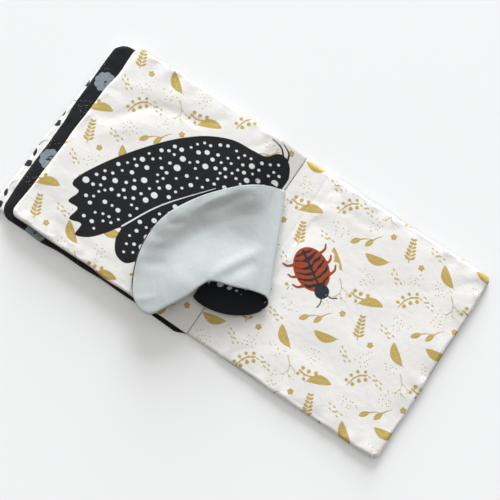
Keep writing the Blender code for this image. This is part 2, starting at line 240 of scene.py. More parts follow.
class Leaf:
    """Where one leaf's cloth lies, from its CAD nodes, and the form of its cloth."""

    def __init__(self, name, body, form, wrinkles=(), spread=0):
        self.body = body
        self.round_corner, self.seed, self.crown, self.gathers, self.wave, self.under_wave = form
        self.wrinkles = wrinkles
        self.spread = spread
        upper = node_places(name + "_upper_cloth")
        lower = node_places(name + "_lower_cloth")
        self.side = 1 if upper[:, 0].mean() > 0 else -1
        self.start = from_spine(upper).min()
        self.head_corner = fore_corner(upper, 1)
        self.tail_corner = fore_corner(upper, -1)
        stretch = (self.head_corner[0] + self.tail_corner[0]) / 2 / LEAF_LENGTH
        self.pad_start = from_spine(node_places(name + "_wadding")).min() / stretch - WADDING_INSET
        far = lower[from_spine(lower) > LEAF_LENGTH / 2, 2]
        low, high = (cloth[from_spine(cloth) < self.start + CLOTH, 2] for cloth in (lower, upper))
        self.middle = far.max() + 3 * HALF_GAP
        self.half = self.middle - far.min()
        self.spine_height = (low.max() + high.min()) / 2
        self.lift = np.zeros(np.add(PUFF_CELLS, 1))

    def reach(self, across):
        """The fore edge's distance from the spine."""
        head = 0.5 + across / (2 * HALF_WIDTH)
        return self.tail_corner[0] + head * (self.head_corner[0] - self.tail_corner[0])

    def plan(self, along, across):
        """A place on the nominal leaf, moved to the soft leaf's outline."""
        far = along / LEAF_LENGTH
        corner = np.where(across > 0, self.head_corner[1], self.tail_corner[1])
        fan = self.spread * smooth(far / SPREAD_START_SHARE) * (1 - far) ** 3
        past = fan * np.clip(-across / HALF_WIDTH, 0, 1)
        return self.side * far * self.reach(across), across * (1 + far * (corner / HALF_WIDTH - 1)) - past

    def past_hinge(self, along, lead=0):
        """0 on the unpadded margin, rising to 1 where the padding starts."""
        return smooth((along - self.pad_start) / HINGE_REACH + lead)

    def climb(self, along):
        """The share of the seam's rise from the spine."""
        return np.clip((along - self.start) / (self.pad_start - self.start), 0, 1)

    def seam_height(self, along):
        return self.spine_height + self.climb(along) * (self.middle - self.spine_height)

    def spine_rise(self, along):
        """How far the upper cloth is raised beside the spine."""
        return 0 * along

    def lifted(self, along, across):
        """The simulated lift of the padded cloth at a place."""
        rows, columns = PUFF_CELLS
        row = np.clip((along - self.pad_start) / (LEAF_LENGTH - self.pad_start), 0, 1) * rows
        column = np.clip(0.5 + across / (2 * HALF_WIDTH), 0, 1) * columns
        first = np.minimum(row.astype(int), rows - 1)
        second = np.minimum(column.astype(int), columns - 1)
        return in_cell(self.lift, first, second, row - first, column - second)


class BackCover(Leaf):
    """The back leaf and the unpadded strip, as one cloth."""

    def __init__(self, *form):
        super().__init__(*form)
        self.crease = self.start
        self.start = 0
        self.spine_height = SEAM_HALF

    def climb(self, along):
        return smooth((along - self.crease) / (CREASE_REACH_SHARE * (self.pad_start - self.crease)))

    def spine_rise(self, along):
        """Raises the upper cloth to the strip's top, and on to the padding's."""
        pad = self.past_hinge(along, PAD_LEAD_SHARE)
        plain = self.seam_height(along) + SEAM_HALF * (1 - pad) + self.half * pad
        climb = smooth((along - STRIP_LEVEL) / STRIP_CLIMB)
        return STRIP_TOP + climb * (self.middle + self.half - STRIP_TOP) - plain


# Wrinkles, in millimetres from the spine: places, half width, height
TOP_WRINKLES = (
    (((-184, 20), (-170, 26), (-160, 39), (-145, 55), (-123, 64), (-98, 69), (-76, 88)), 5, -0.7),
    (((-188, 52), (-172, 62), (-140, 72), (-110, 82)), 6, 0.3),
    (((-185, -5), (-160, 18), (-135, 40), (-100, 50)), 8, 0.5),
    (((-180, -84), (-150, -80), (-110, -84), (-80, -80)), 5, -0.4),
)
BACK_WRINKLES = (
    (((2, 58), (23, 67), (50, 76), (82, 77), (108, 87)), 4, -0.3),
    (((60, -60), (90, -66), (130, -60)), 9, 0.3),
    (((110, 20), (130, 40), (150, 45)), 9, -0.3),
)
# Radius of the fore corners, seed, crown, height of the gathers, and waviness of the edge above and below
BACK = BackCover("back_leaf", "back_cover", (0.006, 61, 0, 0.0004, 0.0010, 0.0006), BACK_WRINKLES)
FRONT = Leaf("front_leaf", "front_leaf", (0.012, 121, 0, 0.0002, 0.0009, 0.0006))
INNER_LEFT = Leaf("inner_left_leaf", "inner_left_leaf", (0.012, 91, 0, 0.0002, 0.0011, 0.0005), (),
                  LOWER_LEAF_SPREAD)
INNER_RIGHT = Leaf("inner_right_leaf", "inner_right_leaf", (0.008, 31, 0.0003, 0.0004, 0.0012, 0.0006),
                   TOP_WRINKLES)


def grid_lines(start, end, pitch):
    """Places from start to end, closer together at both ends, where the cloth rolls over."""
    near = np.array(EDGE_STEPS)
    count = int((end - start - 2 * near[-1]) / pitch)
    count += (2 - count) % INNER_STEP
    middle = np.linspace(start + near[-1], end - near[-1], count + 1)
    return np.concatenate([start + near[:-1], middle, end - near[-2::-1]])


def quarter_round(first, second, ends, radius):
    """Draws in the square corner where two coordinates reach their ends."""
    wide = (first - ends[0]) / radius + 1
    high = (second - ends[1]) / radius + 1
    inside = (wide > 0) & (high > 0)
    far = np.maximum(wide, high)
    angle = pi / 4 * np.minimum(wide, high) / np.where(inside, far, 1)
    sides = (far * np.cos(angle), far * np.sin(angle))
    wide, high = np.where(wide >= high, sides, sides[::-1])
    return (np.where(inside, ends[0] + radius * (wide - 1), first),
            np.where(inside, ends[1] + radius * (high - 1), second))


def edge_roll(distance, reach):
    """0 at a sewn edge, rounding up to 1 at the reach."""
    inside = np.clip(distance / reach, 0, 1)
    return np.sqrt(1 - (1 - inside) ** 2)


SEWN_FROM_SPINE = 0.026
SEWN_WIDTH = 0.0012
SEAM_DEPTH = 0.00025
ROLL_REACH = 0.0033
SEAM_ROLL_REACH = 0.0012
CROWN_REACH = 0.045
PUCKER_PITCH = 0.0085
PUCKER_DEPTH = 0.013
PUCKER_SHIFT = 40
WAVE_PITCH = 0.022
WAVE_DEPTH = 0.02
WAVE_ROW = 7
WRINKLE_FADE = 0.006
LEAST_SHARE = 0.4
SLACK = 0.0003
SLACK_PITCH = 0.026


def edge_distances(along, across):
    """Distances from the fore edge and from the nearer side."""
    return LEAF_LENGTH - along, HALF_WIDTH - np.abs(across)


def gathered(run, distance, seed, stretch=1):
    """Small gathers that run in from a sewn edge, from -1 to 1."""
    return soft_noise(run, distance / (stretch * PUCKER_DEPTH), seed) * np.exp(-distance / PUCKER_DEPTH)


def pucker(leaf, along, across):
    """The gathers beside a leaf's fore edge and sides."""
    fore, side = edge_distances(along, across)
    run = along / PUCKER_PITCH + np.where(across > 0, PUCKER_SHIFT, 0)
    return (gathered(across / PUCKER_PITCH, fore, leaf.seed)
            + gathered(run, side, leaf.seed + 1) * leaf.past_hinge(along))


def half_thickness(leaf, along, across):
    """Half the leaf's thickness, and how far it is padded."""
    fore, side = edge_distances(along, across)
    pad = edge_roll(fore, ROLL_REACH) * edge_roll(side, ROLL_REACH) * leaf.past_hinge(along, PAD_LEAD_SHARE)
    seam = edge_roll(np.minimum(np.minimum(fore, side), along - leaf.start), SEAM_ROLL_REACH)
    return SEAM_HALF * seam * (1 - pad) + leaf.half * pad, pad


def upper_height(leaf, along, across):
    """Height of a leaf's upper cloth: sewn edges, padding, gathers and wrinkles."""
    fore, side = edge_distances(along, across)
    edge = np.minimum(fore, side)
    inner = np.minimum(edge, along - leaf.pad_start)
    half, pad = half_thickness(leaf, along, across)
    seam = leaf.seam_height(along) + HALF_GAP * (1 - pad)
    z = seam + half + leaf.crown * smooth(inner / CROWN_REACH) + leaf.lifted(along, across)
    z += leaf.gathers * pucker(leaf, along, across) * edge_roll(edge, ROLL_REACH / 2) * (pad > 0)
    slack = soft_noise(along / SLACK_PITCH, across / SLACK_PITCH, leaf.seed + 9)
    z += SLACK * slack * smooth(inner / ROLL_REACH)
    z += leaf.spine_rise(along) * edge_roll(side, ROLL_REACH)
    z -= SEAM_DEPTH * np.exp(-((along - SEWN_FROM_SPINE) / SEWN_WIDTH) ** 2)
    z += ridges(*leaf.plan(along, across), leaf.wrinkles) * smooth(edge / WRINKLE_FADE)
    return np.maximum(z, seam + LEAST_SHARE * SEAM_HALF * edge_roll(edge, SEAM_ROLL_REACH))


def cloth_height(leaf, x, y):
    """A leaf's upper surface at a place, measured from the spine."""
    along = np.clip(leaf.side * x * LEAF_LENGTH / leaf.reach(y), leaf.start, LEAF_LENGTH)
    return upper_height(leaf, along, np.clip(y, -HALF_WIDTH, HALF_WIDTH))


def leaf_surface(leaf, pitch, upper):
    """One cloth of a leaf: its places from the spine, and their distance from the sewn edge."""
    along, across = np.meshgrid(grid_lines(leaf.start, LEAF_LENGTH, pitch),
                                grid_lines(-HALF_WIDTH, HALF_WIDTH, pitch), indexing="ij")
    fore, side = edge_distances(along, across)
    if upper:
        wave = leaf.wave
        z = upper_height(leaf, along, across)
    else:
        wave = leaf.under_wave
        half, pad = half_thickness(leaf, along, across)
        z = leaf.seam_height(along) - half - HALF_GAP * (1 - pad)
    fore_wave = soft_noise(across / WAVE_PITCH, fore / LEAF_LENGTH, leaf.seed + 5)
    fore_wave *= np.exp(-fore / WAVE_DEPTH)
    side_wave = soft_noise(along / WAVE_PITCH, np.sign(across) + WAVE_ROW, leaf.seed + 6)
    side_wave *= np.exp(-side / WAVE_DEPTH) * leaf.past_hinge(along)
    along, wide = quarter_round(along, np.abs(across), (LEAF_LENGTH, HALF_WIDTH), leaf.round_corner)
    x, y = leaf.plan(along + wave * fore_wave, (wide + wave * side_wave) * np.sign(across))
    return np.stack([x, y, z], axis=-1), np.minimum(fore, side)


# Meshes

def add_object(name, data):
    thing = bpy.data.objects.new(name, data)
    bpy.context.scene.collection.objects.link(thing)
    return thing


def add_piece(name, points, faces):
    mesh = bpy.data.meshes.new(name)
    mesh.from_pydata(points, [], faces)
    return add_object(name, mesh)


def set_attribute(mesh, name, kind, entry, values):
    attribute = mesh.attributes.new(name, kind, "POINT")
    attribute.data.foreach_set(entry, values.astype(np.float32))


def cell_faces(numbers):
    """A face for each cell of a grid of numbers, row by row."""
    corners = (numbers[:-1, :-1], numbers[:-1, 1:], numbers[1:, 1:], numbers[1:, :-1])
    return np.stack(corners, axis=-1).reshape(-1, 4)


def round_edge(numbers):
    """The numbers round a grid's edge, back to the first."""
    return [*numbers[0, :-1], *numbers[:-1, -1], *numbers[-1, :0:-1], *numbers[:0:-1, 0], numbers[0, 0]]


def shell(name, outer, inner, attributes, up):
    """A closed cloth between an outer grid, which faces up or down, and an inner grid with fewer lines."""
    step = (outer.shape[0] - 1) // (inner.shape[0] - 1)
    fine, coarse = (np.arange(grid[..., 0].size).reshape(grid.shape[:2]) for grid in (outer, inner))
    coarse += fine.size
    faces = cell_faces(fine).tolist() + cell_faces(coarse)[:, [0, 3, 2, 1]].tolist()
    fine = round_edge(fine)
    coarse = round_edge(coarse)
    for number in range(len(coarse) - 1):
        span = fine[number * step:(number + 1) * step + 1]
        faces.append([*coarse[number:number + 2], *span[::-1]])
    if (np.cross(inner[1, -1] - inner[0, -1], inner[1, -1] - inner[1, -2])[2] > 0) != up:
        faces = [face[::-1] for face in faces]
    points = np.vstack([outer.reshape(-1, 3), inner.reshape(-1, 3)]) - (ORIGIN_FROM_SPINE, 0, 0)
    piece = add_piece(name, points.tolist(), faces)
    piece.data.shade_smooth()
    piece.data.set_sharp_from_angle(angle=SHARP_ANGLE)
    for key, values in attributes.items():
        data = np.concatenate([values.ravel(), values[::step, ::step].ravel()])
        kind = ("FLOAT_VECTOR", "vector") if values.ndim == 3 else ("FLOAT", "value")
        set_attribute(piece.data, key, *kind, data)
    return piece


def grid_normals(grid, up, first=0):
    """A grid's normals, which face up or down, judged from the first column on."""
    normals = np.cross(np.gradient(grid, axis=0), np.gradient(grid, axis=1))
    normals = normals / np.maximum(np.linalg.norm(normals, axis=-1, keepdims=True), 1e-12)
    return normals if (normals[:, first:, 2].mean() > 0) == up else -normals


# Cloth simulation of the padding, at ten times the size, where the solver works well
PUFF_SCALE = 10
PUFF_FRAMES = 25
PUFF_CLOTH = {"quality": 6, "mass": 0.3, "tension_stiffness": 15, "compression_stiffness": 15,
              "shear_stiffness": 5, "bending_stiffness": 0.05, "air_damping": 2, "vertex_group_mass": "held",
              "use_pressure": True, "uniform_pressure_force": 2.0}
PUFF_START = 0.0008
PUFF_STRETCH = 3
PUFF_HOLD = 0.2
PUFF_HOLD_BELOW = 0.9
PUFF_LIMIT = 0.0007
PUFF_SWELL_SHARE = 0.1
PUFF_SEED = 40


def pillow(leaf, seed):
    """A leaf's padding as two sheets that share their rim: distances from it, places, faces."""
    length = LEAF_LENGTH - leaf.pad_start
    along, across = np.meshgrid(np.linspace(0, length, PUFF_CELLS[0] + 1),
                                np.linspace(-HALF_WIDTH, HALF_WIDTH, PUFF_CELLS[1] + 1), indexing="ij")
    side = HALF_WIDTH - np.abs(across)
    end = np.minimum(along, length - along)
    inside = np.minimum(end, side)
    rolled = edge_roll(inside, ROLL_REACH)
    loose = (gathered(along / PUCKER_PITCH, side, seed, PUFF_STRETCH)
             + gathered(across / PUCKER_PITCH, end, seed + 1, PUFF_STRETCH)
             + 0.5 * soft_noise(along / SLACK_PITCH, across / SLACK_PITCH, seed + 2))
    top = np.stack([along, across, leaf.half * rolled + PUFF_START * loose * rolled], axis=-1)
    below = np.stack([along, across, -leaf.half * rolled], axis=-1)[inside > TINY]
    upper = np.arange(inside.size).reshape(inside.shape)
    lower = upper.copy()
    lower[inside > TINY] = inside.size + np.arange(len(below))
    faces = np.stack([cell_faces(upper)[:, [0, 3, 2, 1]], cell_faces(lower)[:, [1, 2, 3, 0]]], axis=1)
    return inside, np.vstack([top.reshape(-1, 3), below]), faces.reshape(-1, 4)


def simulate_lift(leaf, seed):
    """Lets pressure swell the padding inside its sewn rim, and keeps how far the cloth moved up."""
    inside, points, faces = pillow(leaf, seed)
    piece = add_piece("pillow", (points * PUFF_SCALE).tolist(), faces.tolist())
    held = piece.vertex_groups.new(name="held")
    weights = np.full(len(points), PUFF_HOLD_BELOW)
    weights[:inside.size] = np.where(inside > TINY, PUFF_HOLD, 1).ravel()
    for number, weight in enumerate(weights):
        held.add([number], weight, "REPLACE")
    cloth = piece.modifiers.new("cloth", "CLOTH")
    for name, value in PUFF_CLOTH.items():
        setattr(cloth.settings, name, value)
    cloth.settings.effector_weights.gravity = 0
    cloth.collision_settings.use_collision = False
    for number in range(1, PUFF_FRAMES + 1):
        bpy.context.scene.frame_set(number)
    swollen = piece.evaluated_get(bpy.context.evaluated_depsgraph_get()).data
    height = np.array([vertex.co[2] for vertex in swollen.vertices[:inside.size]]) / PUFF_SCALE
    moved = height.reshape(inside.shape) - leaf.half * edge_roll(inside, ROLL_REACH)
    ring = np.round(inside / inside.max() * min(PUFF_CELLS) / 2).astype(int)
    even = np.array([moved[ring == number].mean() for number in range(ring.max() + 1)])[ring]
    leaf.lift = PUFF_LIMIT * np.tanh((moved - (1 - PUFF_SWELL_SHARE) * even) / PUFF_LIMIT)
    mesh = piece.data
    bpy.data.objects.remove(piece)
    bpy.data.meshes.remove(mesh)
    bpy.context.scene.frame_set(1)


# Prints. Each motif gives its distance, below zero inside, and its light parts'
FAR = 99.0
MOTIF_REACH = 16


def nearest(*shapes):
    return np.minimum.reduce(shapes)


def turned(x, y, place, turn):
    """x and y seen from a motif's own place and turn."""
    angle = radians(turn)
    x = x - place[0]
    y = y - place[1]
    return x * cos(angle) + y * sin(angle), y * cos(angle) - x * sin(angle)


def disc(x, y, place, radius):
    return np.hypot(x - place[0], y - place[1]) - radius


def ring_places(count, radius):
    turns = (2 * pi * number / count for number in range(count))
    return [(radius * cos(turn), radius * sin(turn)) for turn in turns]


def lens(x, y, length, width):
    """A pointed leaf shape along x."""
    radius = (length ** 2 + width ** 2) / (4 * width)
    return np.hypot(x, np.abs(y) + radius - width / 2) - radius


def stroke(x, y, points, start_radius, end_radius):
    distance, share = along_line(x, y, rounded_line(points, steps=4))
    return distance - (start_radius + share * (end_radius - start_radius))


def leaf_motif(x, y):
    """A bent leaf with light veins."""
    bent = y - 0.022 * x ** 2 + 1.2
    body = lens(x, bent, 23, 8.4)
    stalk = stroke(x, y, ((9, 0.6), (13, 2.8)), 0.5, 0.3)
    veins = np.abs((x - 1.3 * np.abs(bent)) % 2.9 - 1.45) - 0.22
    light = np.minimum(np.abs(bent) - 0.25, veins)
    return np.minimum(body, stalk), np.maximum(light, body + 0.9)


BERRIES = ((-8, 3.4), (-5, -2.6), (-2, 5), (1.5, -2.8), (4.5, 4.8), (7.2, -4.6), (10.6, 1.4))


def sprig_motif(x, y):
    """A bent stem with round berries on short stalks."""
    shapes = [stroke(x, y, ((-10, -1), (-3, 1.2), (4, 1), (10, -2)), 0.5, 0.8)]
    for number, (right, up) in enumerate(BERRIES):
        shapes.append(stroke(x, y, ((right + 0.8, up * 0.1), (right, up)), 0.35, 0.35))
        shapes.append(disc(x, y, (right, up), 1.55 + 0.25 * (number % 2)))
    return nearest(*shapes), FAR


def fern_motif(x, y):
    """A straight stem with pairs of small leaves."""
    shapes = [stroke(x, y, ((-11, 0), (0, 0.6), (11, 0)), 0.55, 0.3)]
    for number in range(6):
        size = 6.4 - 0.62 * number
        for side in (-1, 1):
            place = (3.4 * number - 6.5, side * size * 0.45)
            shapes.append(lens(*turned(x, y, place, side * 52), size, 2.3))
    return nearest(*shapes), FAR


TWIGS = (((-4, 0), (0, 4), (3, 8)), ((0, 4), (4, 5), (6, 4)), ((1, -0.8), (5, -5), (10, -6)),
         ((4, -4), (5, -7), (4, -9)), ((5, -0.6), (8, 3), (11, 6)))


def twig_motif(x, y):
    """Fine bare twigs."""
    shape = stroke(x, y, ((-12, -2), (-4, 0), (4, -1), (12, 2)), 0.55, 0.25)
    return nearest(shape, *(stroke(x, y, points, 0.42, 0.22) for points in TWIGS)), FAR


def bud_motif(x, y):
    """A bud on a bent stalk."""
    stalk = stroke(x, y, ((-9, 3), (-4, 1), (1, 0.3)), 0.3, 0.7)
    bud = lens(x - 5, y - 0.2, 10, 5)
    return np.minimum(stalk, bud), np.maximum(np.abs(y - 0.2) - 0.28, bud + 1)


def blossom_motif(x, y):
    petals = (disc(x, y, place, 1.15) for place in ring_places(5, 1.9))
    return nearest(disc(x, y, (0, 0), 0.9), *petals), disc(x, y, (0, 0), 0.55)


def dashes_motif(x, y):
    """Two rows of short dashes."""
    shapes = []
    for number in range(7):
        row, column = divmod(number, 4)
        place = (4.6 * column - 6.5 + 1.8 * row, 3.3 * row - 1.5 + 0.7 * sin(2.1 * number))
        shapes.append(lens(*turned(x, y, place, 14 * sin(1.7 * number)), 4.2, 1.35))
    return nearest(*shapes), FAR


def speckled_motif(x, y):
    """The uneven patch that the material fills with specks."""
    angle = np.arctan2(y, x)
    reach = 8.5 + 1.8 * np.sin(3 * angle + 0.7) + 1.1 * np.sin(5 * angle)
    return np.hypot(x, 1.25 * y) - reach, FAR


# The motifs of each repeat, their places and their turns
REPEAT = (92, 84)
GOLD_REPEAT = (
    (leaf_motif, (8, 10), 205), (leaf_motif, (52, 68), 322), (sprig_motif, (34, 30), 62),
    (bud_motif, (60, 12), 230), (bud_motif, (70, 18), 250), (twig_motif, (72, 46), 300),
    (dashes_motif, (14, 42), 150), (dashes_motif, (50, 38), 348), (blossom_motif, (28, 62), 20),
    (blossom_motif, (84, 30), 50), (fern_motif, (12, 70), 110), (leaf_motif, (82, 4), 12),
    (sprig_motif, (90, 52), 200), (dashes_motif, (34, 80), 170),
)
SPECKLED_REPEAT = (
    (speckled_motif, (40, 8), 0), (speckled_motif, (30, 48), 60), (speckled_motif, (84, 68), 130),
    (speckled_motif, (66, 30), 90), (speckled_motif, (54, 56), 20),
)


def repeat_print(x, y, motifs, repeat, shift):
    """A print that is offset by half a repeat in every other column."""
    shape = np.full(np.shape(x), FAR)
    light = shape.copy()
    x = x - shift[0]
    y = y - shift[1]
    wide, high = repeat
    for column in range(int(x.min() // wide) - 1, int(x.max() // wide) + 2):
        drop = high / 2 if column % 2 else 0
        for row in range(int((y.min() - drop) // high) - 1, int((y.max() - drop) // high) + 2):
            for motif, (right, up), turn in motifs:
                place = (right + column * wide, up + row * high + drop)
                near = (np.abs(x - place[0]) < MOTIF_REACH) & (np.abs(y - place[1]) < MOTIF_REACH)
                if near.any():
                    body, veins = motif(*turned(x[near], y[near], place, turn))
                    shape[near] = np.minimum(shape[near], body)
                    light[near] = np.minimum(light[near], veins)
    return shape, light


DOT_TRIES = 9000
DOT_STRETCH = (0.92, 1.08)


def round_dots(x, y, area, seed, spacing, smallest, largest):
    """Dots of mixed sizes, spread evenly where area(x, y) is below zero."""
    draw = np.random.RandomState(seed)
    places = draw.uniform((x.min(), y.min()), (x.max(), y.max()), (DOT_TRIES, 2))
    radii = smallest + (largest - smallest) * draw.uniform(size=DOT_TRIES) ** 2.2
    allowed = area(places[:, 0], places[:, 1]) < 0
    kept = np.empty((0, 3))
    for place, radius in zip(places[allowed], radii[allowed]):
        gaps = np.hypot(kept[:, 0] - place[0], kept[:, 1] - place[1]) - kept[:, 2] - radius
        if len(kept) == 0 or gaps.min() > spacing:
            kept = np.vstack([kept, (*place, radius)])
    shape = np.full(np.shape(x), FAR)
    for px, py, radius in kept:
        near = (np.abs(x - px) < 2 * radius) & (np.abs(y - py) < 2 * radius)
        stretch = np.hypot((x[near] - px) * DOT_STRETCH[0], (y[near] - py) * DOT_STRETCH[1])
        shape[near] = np.minimum(shape[near], stretch - radius)
    return shape


# The moth's half on the top leaf, drawn round from its head: fore wing with a scalloped margin, hind wing
MOTH_OUTLINE = rounded_line((
    (-3, 62), (-5, 76), (-13, 85), (-23, 85), (-31, 76), (-44, 74), (-64, 72), (-86, 62), (-108, 44),
    (-128, 21), (-146, -4), (-161, -31), (-163, -43), (-154, -46), (-157, -58), (-146, -59), (-147, -71),
    (-135, -69), (-134, -80), (-122, -75), (-112, -64), (-103, -52), (-101, -63), (-93, -74), (-81, -76),
    (-70, -66), (-52, -57), (-14, -46), (-8, 0),
), closed=True)
FEELERS = (((-17, 84), (-24, 91), (-35, 93)), ((-13, 85), (-16, 91), (-24, 95)))
WING_VEIN = (((-103, -50), (-84, -14), (-52, 26)), 0.8, 0.3)


def moth_print(x, y):
    """The moth and its feelers, and its white dots and vein."""
    body = inside_line(x, y, MOTH_OUTLINE)

    def dotted(px, py):
        return np.maximum(inside_line(px, py, MOTH_OUTLINE) + 6.5, 4 - stroke(px, py, *WING_VEIN))

    dots = round_dots(x, y, dotted, 5, 2.9, 1.25, 3.2)
    dots = np.minimum(dots, np.maximum(stroke(x, y, *WING_VEIN), body + 0.5))
    return nearest(body, *(stroke(x, y, feeler, 0.9, 0.5) for feeler in FEELERS)), dots


BEETLE_PLACE = (60.5, 14)
BEETLE_TURN = -32
BEETLE_SCALE = 1.12


def beetle_print(x, y):
    """A beetle with a rust body and legs, and a black head, stripes and feelers."""
    x, y = (part / BEETLE_SCALE for part in turned(x, y, BEETLE_PLACE, BEETLE_TURN))
    body = (np.hypot(x / 19, y / 14) - 1) * 14
    shapes = [body]
    for along in (-9, 1, 10):
        for side in (-1, 1):
            points = ((along, side * 11), (along - 1.5, side * 16.5), (along - 5, side * 19))
            shapes.append(stroke(x, y, points, 1.3, 0.7))
    feelers = (stroke(x, y, ((24, side * 2), (28, side * 5), (30, side * 9)), 0.6, 0.5) for side in (-1, 1))
    wave = 1.2 * soft_noise(x / 5, y / 5, 21)
    stripes = np.abs((x + 0.035 * y ** 2 + wave) % 5.6 - 2.8) - 1.1 + 0.9 * soft_noise(x / 3, y / 4, 22)
    dark = np.maximum(np.minimum(stripes, np.abs(y) - 0.9), body + 1.1)
    return nearest(*shapes) * BEETLE_SCALE, nearest(dark, disc(x, y, (20, 0), 6), *feelers) * BEETLE_SCALE


def daisy_motif(x, y):
    """A round flower with blunt petals and a dotted heart."""
    reach = 8.2 + 1.9 * np.sqrt(np.abs(np.cos(4.5 * np.arctan2(y, x))))
    holes = [disc(x, y, (0, 0), 1.3)]
    for number, place in enumerate(ring_places(9, 3.2)):
        holes.append(disc(x, y, place, 0.62))
        line_x, line_y = turned(x, y, (0, 0), 20 + 40 * number)
        holes.append(np.maximum(np.abs(line_y) - 0.3, np.abs(line_x - 7.2) - 1.7))
    return np.hypot(x, y) - reach, nearest(*holes)


def square_motif(x, y):
    return np.maximum(np.abs(x), np.abs(y)) - 3.2, FAR


def hook_motif(x, y):
    return stroke(x, y, ((-6, 2), (-1, 3), (4, 0), (5, -5)), 0.5, 0.4), FAR


def seed_motif(x, y):
    return lens(x, y, 9, 3.6), FAR


DAISY_REPEAT = ((daisy_motif, (0, 0), 25), (daisy_motif, (28.7, 24.4), 200))
DAISY_SIZE = (92, 88)
DAISY_SHIFT = (-195, 52.6)
INK_SIZE = (52, 46)
INK_REPEAT = ((square_motif, (10, 10), 20), (hook_motif, (12, 34), 70), (seed_motif, (30, 30), 15),
              (hook_motif, (42, 10), 200), (seed_motif, (9, 22), 110))


# Materials
PRINT_SOFTNESS = 0.22
SPECK_SOFTNESS = 0.12
THREAD_SCALE = 0.42
CREASE_DEPTH = 0.0006
SPUN_SCALE = 700
SPUN_DEPTH = 0.0001


def connect(tree, node, inputs):
    """Gives a node's inputs their links or their values."""
    for entry, value in inputs.items():
        if isinstance(value, bpy.types.NodeSocket):
            tree.links.new(value, node.inputs[entry])
        else:
            node.inputs[entry].default_value = value


def add_node(tree, kind, output, inputs, **settings):
    """Adds a shader node and gives one of its outputs."""
    node = tree.nodes.new("ShaderNode" + kind)
    for name, value in settings.items():
        setattr(node, name, value)
    connect(tree, node, inputs)
    return node.outputs[output]


def add_layer(tree, name, output="Fac"):
    return add_node(tree, "Attribute", output, {}, attribute_name=name)


def add_math(tree, operation, first, second):
    return add_node(tree, "Math", "Value", {0: first, 1: second}, operation=operation)


def add_range(tree, value, start, end, low=0, high=1):
    """A value carried over from one range to another."""
    inputs = {"Value": value, "From Min": start, "From Max": end, "To Min": low, "To Max": high}
    return add_node(tree, "MapRange", "Result", inputs)


def add_mix(tree, factor, first, second, blend="MIX"):
    inputs = {"Factor": factor, 6: first, 7: second}
    return add_node(tree, "Mix", 2, inputs, data_type="RGBA", blend_type=blend)


def add_bump(tree, height, strength, distance, **normal):
    inputs = {"Height": height, "Strength": strength, "Distance": distance}
    return add_node(tree, "Bump", "Normal", {**inputs, **normal})


def add_wave(tree, place, scale, distortion, direction):
    inputs = {"Vector": place, "Scale": scale, "Distortion": distortion}
    return add_node(tree, "TexWave", "Fac", inputs, bands_direction=direction)


def add_material(name, inputs):
    """A new material, its tree and its shader."""
    material = bpy.data.materials.new(name)
    material.use_nodes = True
    shader = material.node_tree.nodes["Principled BSDF"]
    connect(material.node_tree, shader, inputs)
    return material, material.node_tree, shader


def add_specks(tree, flat, colour, tint, pitch, radius):
    """Round specks, one to a cell of the pitch, where the cloth's speckled layer is below zero."""
    cells = {"Vector": flat, "Scale": 1 / pitch, "Randomness": 0.9}
    distance = add_node(tree, "TexVoronoi", "Distance", cells, voronoi_dimensions="2D")
    dot = add_range(tree, distance, (radius + SPECK_SOFTNESS) / pitch, (radius - SPECK_SOFTNESS) / pitch)
    inside = add_math(tree, "LESS_THAN", add_layer(tree, "speckled"), 0)
    return add_mix(tree, add_math(tree, "MULTIPLY", dot, inside), colour, linear(tint))


def cloth_material(name, ground, prints, specks=(), mottle=0.045, weave_depth=0.05, roughness=0.92,
                   sheen=0.12):
    """Woven cotton: a ground colour, printed layers (and the top leaf's tan rim of painted shade), specks,
    mottling, a plain weave and fine creases.
    """
    material, tree, shader = add_material(name, {"Roughness": roughness, "Sheen Weight": sheen,
                                                 "Sheen Roughness": 0.6, "Specular IOR Level": 0.15})
    flat = add_layer(tree, "flat", "Vector")
    colour = linear(ground)
    for layer, tint in prints:
        mask = add_range(tree, add_layer(tree, layer), PRINT_SOFTNESS, -PRINT_SOFTNESS)
        colour = add_mix(tree, mask, colour, linear(tint))
    for tint, pitch, radius in specks:
        colour = add_specks(tree, flat, colour, tint, pitch, radius)
    slow, fine, crease = (
        add_node(tree, "TexNoise", "Fac", {"Vector": flat, "Scale": scale, "Detail": detail})
        for scale, detail in ((0.035, 2), (0.8, 3), (0.16, 4)))
    shade = add_range(tree, add_math(tree, "ADD", slow, fine), 0.6, 1.4, 1 - mottle, 1 + mottle / 2)
    colour = add_mix(tree, 1, colour, shade, "MULTIPLY")
    warp, weft = (add_wave(tree, flat, THREAD_SCALE, 0.6, direction) for direction in "XY")
    crumple = add_bump(tree, crease, 0.5, CREASE_DEPTH)
    weave = add_bump(tree, add_math(tree, "MULTIPLY", warp, weft), 0.6, weave_depth * MM, Normal=crumple)
    connect(tree, shader, {"Base Color": colour, "Normal": weave})
    return material


def thread_material():
    """Spun cotton thread, with fine turns along its length."""
    material, tree, shader = add_material("spun_thread", {"Roughness": 0.75, "Sheen Weight": 0.2})
    place = add_node(tree, "TexCoord", "Object", {})
    twist = add_wave(tree, place, SPUN_SCALE, 1, "DIAGONAL")
    pale = add_mix(tree, twist, linear(THREAD_SHADE), linear(THREAD))
    colour = add_mix(tree, add_layer(tree, "dark"), pale, linear(BLACK))
    connect(tree, shader, {"Base Color": colour, "Normal": add_bump(tree, twist, 0.6, SPUN_DEPTH)})
    return material


